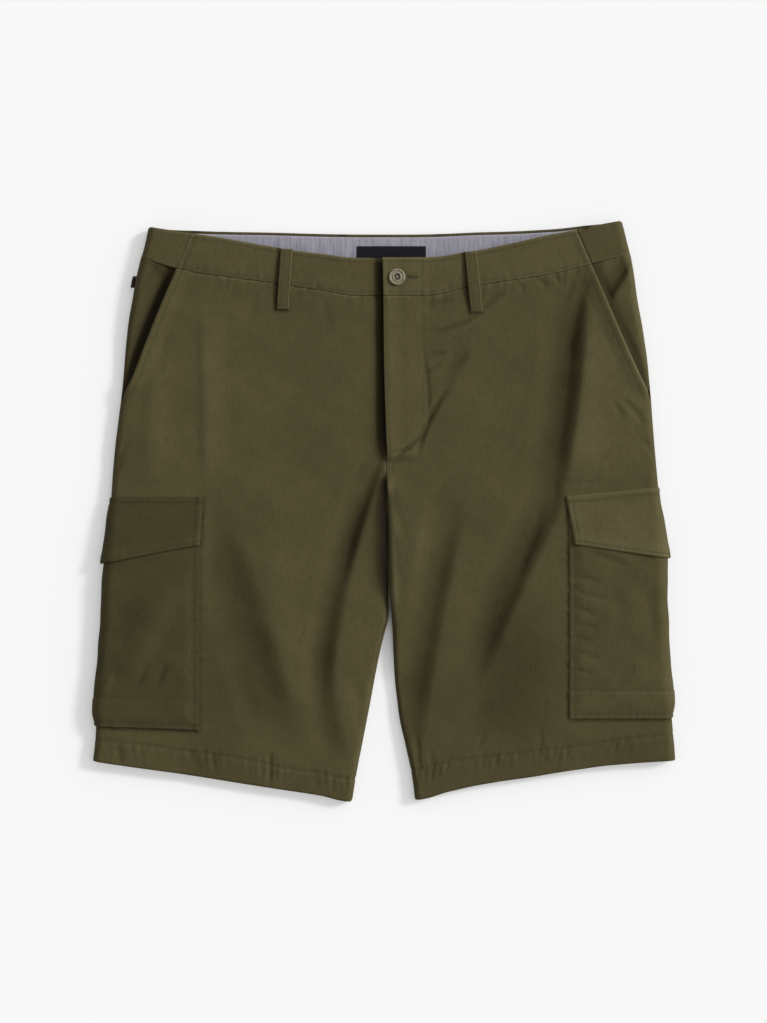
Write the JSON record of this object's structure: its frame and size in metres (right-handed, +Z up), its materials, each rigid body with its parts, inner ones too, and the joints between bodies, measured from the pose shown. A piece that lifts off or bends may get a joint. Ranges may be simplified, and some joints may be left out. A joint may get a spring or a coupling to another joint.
{
  "type": "cargo shorts",
  "caption": "Cotton cargo shorts laid flat, front up, with a buttoned waistband, belt loops, slanted front pockets and flapped side pockets.",
  "frame": {"origin": "on the surface that the shorts lie on, under the middle of their box", "axes": "+X to the wearer's left, +Y towards the waist, +Z up from the surface"},
  "size_m": [0.554, 0.5513, 0.0205],
  "materials": {
    "twill": "olive cotton twill, matt",
    "lining": "pale grey-lavender chambray",
    "label": "dark woven satin, plain",
    "button": "olive-beige, satin",
    "tab": "dark brown woven tape"
  },
  "bodies": {
    "root": {"front_right": "twill", "front_left": "twill", "back_right": "twill", "back_left": "twill", "pocket_facing_right": "twill", "pocket_facing_left": "twill", "waistband_front_right": "twill", "waistband_front_left": "twill", "waistband_back": "twill", "belt_loop_front_right": "twill", "belt_loop_front_left": "twill", "belt_loop_back_1": "twill", "belt_loop_back_2": "twill", "belt_loop_back_3": "twill", "belt_loop_back_4": "twill", "cargo_pocket_right": "twill", "cargo_pocket_left": "twill", "cargo_flap_right": "twill", "cargo_flap_left": "twill", "waistband_lining": "lining", "label": "label", "button": "button", "side_tab": "tab"}
  },
  "joints": []
}
